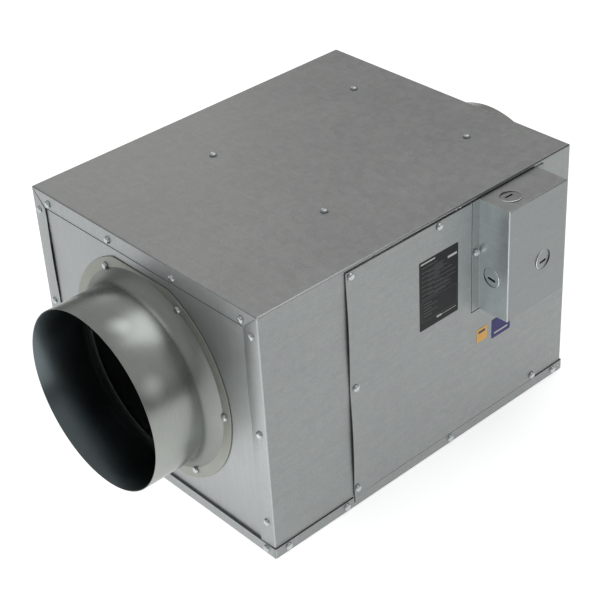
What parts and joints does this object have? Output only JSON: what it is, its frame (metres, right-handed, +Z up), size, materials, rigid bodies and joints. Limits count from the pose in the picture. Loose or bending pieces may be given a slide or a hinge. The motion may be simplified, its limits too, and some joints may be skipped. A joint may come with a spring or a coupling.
{
  "type": "inline duct fan",
  "caption": "Cabinet duct fan in galvanised sheet with round spigots on both ends, a side access cover, a junction box, an inline centrifugal wheel and a backdraught damper.",
  "frame": {"origin": "middle of the flat underside of the base tray", "axes": "+X is the air direction, from the inlet spigot to the outlet spigot; -Y is the service side with the access cover and junction box; +Z is up"},
  "size_m": [0.576, 0.3885, 0.2889],
  "materials": {
    "galvanised_casing": "galvanised, fine spangle",
    "galvanised_panel": "galvanised, smooth",
    "spun_collar": "galvanised, spun",
    "zinc_screw": "bright zinc plate",
    "black_foam": "open-cell acoustic foam",
    "label": "printed film, satin",
    "impeller_plastic": "glass-filled nylon",
    "motor_paint": "black dip coat",
    "winding": "varnished copper wire on laminations",
    "bright_steel": "ground steel",
    "aluminium": "mill finish",
    "terminal_plastic": "moulded nylon",
    "grommet_rubber": "matt rubber",
    "lead_sheath": "PVC sheath"
  },
  "bodies": {
    "cabinet": {"back_liner": "black_foam", "base_tray": "galvanised_casing", "bulkhead": "galvanised_panel", "capacitor_clip": "bright_steel", "casing_wrapper": "galvanised_casing", "damper_pin": "bright_steel", "damper_seal": "black_foam", "damper_spring": "bright_steel", "front_bearing": "bright_steel", "hanger_screw_1": "zinc_screw", "hanger_screw_2": "zinc_screw", "hanger_screw_3": "zinc_screw", "hanger_screw_4": "zinc_screw", "inlet_collar": "spun_collar", "inlet_collar_screw_1": "zinc_screw", "inlet_collar_screw_2": "zinc_screw", "inlet_collar_screw_3": "zinc_screw", "inlet_collar_screw_4": "zinc_screw", "inlet_collar_screw_5": "zinc_screw", "inlet_collar_screw_6": "zinc_screw", "inlet_end_panel": "galvanised_panel", "inlet_liner": "black_foam", "inlet_ring": "galvanised_panel", "lead_grommet": "grommet_rubber", "motor_bracket": "galvanised_panel", "motor_flange": "aluminium", "motor_lead": "lead_sheath", "motor_screw_1": "zinc_screw", "motor_screw_2": "zinc_screw", "motor_screw_3": "zinc_screw", "motor_screw_4": "zinc_screw", "outlet_collar": "spun_collar", "outlet_collar_screw_1": "zinc_screw", "outlet_collar_screw_2": "zinc_screw", "outlet_collar_screw_3": "zinc_screw", "outlet_collar_screw_4": "zinc_screw", "outlet_collar_screw_5": "zinc_screw", "outlet_collar_screw_6": "zinc_screw", "outlet_end_panel": "galvanised_panel", "outlet_liner": "black_foam", "rear_bearing": "bright_steel", "run_capacitor": "aluminium", "stator_windings": "winding", "terminal_block": "terminal_plastic"},
    "rotor": {"impeller": "impeller_plastic", "rotor_bell": "motor_paint", "motor_shaft": "bright_steel"},
    "cover_unit": {"access_cover": "galvanised_casing", "rating_label": "label", "cover_screw_1": "zinc_screw", "cover_screw_2": "zinc_screw", "cover_screw_3": "zinc_screw", "cover_screw_4": "zinc_screw", "cover_screw_5": "zinc_screw"},
    "junction_box_unit": {"junction_box": "galvanised_panel", "junction_box_screw_1": "zinc_screw", "junction_box_screw_2": "zinc_screw"},
    "damper_left": {"damper_flap_left": "aluminium"},
    "damper_right": {"damper_flap_right": "aluminium"}
  },
  "joints": [
    {"name": "rotor_spin", "type": "hinge", "parent": "cabinet", "child": "rotor", "pos_m": [0.06, 0, 0.143], "axis": [1, 0, 0], "continuous": true},
    {"name": "damper_left_swing", "type": "hinge", "parent": "cabinet", "child": "damper_left", "pos_m": [0.236, 0, 0.143], "axis": [0, 0, 1], "range_deg": [0, 80], "stiffness_Nm_per_rad": 0.01, "springref_deg": -20.05},
    {"name": "damper_right_swing", "type": "hinge", "parent": "cabinet", "child": "damper_right", "pos_m": [0.236, 0, 0.143], "axis": [0, 0, -1], "range_deg": [0, 80], "stiffness_Nm_per_rad": 0.01, "springref_deg": -20.05},
    {"name": "cover_lift", "type": "slide", "parent": "cabinet", "child": "cover_unit", "axis": [0, -1, 0], "range_m": [0, 0.15]},
    {"name": "junction_box_lift", "type": "slide", "parent": "cabinet", "child": "junction_box_unit", "axis": [0, -1, 0], "range_m": [0, 0.1]}
  ]
}
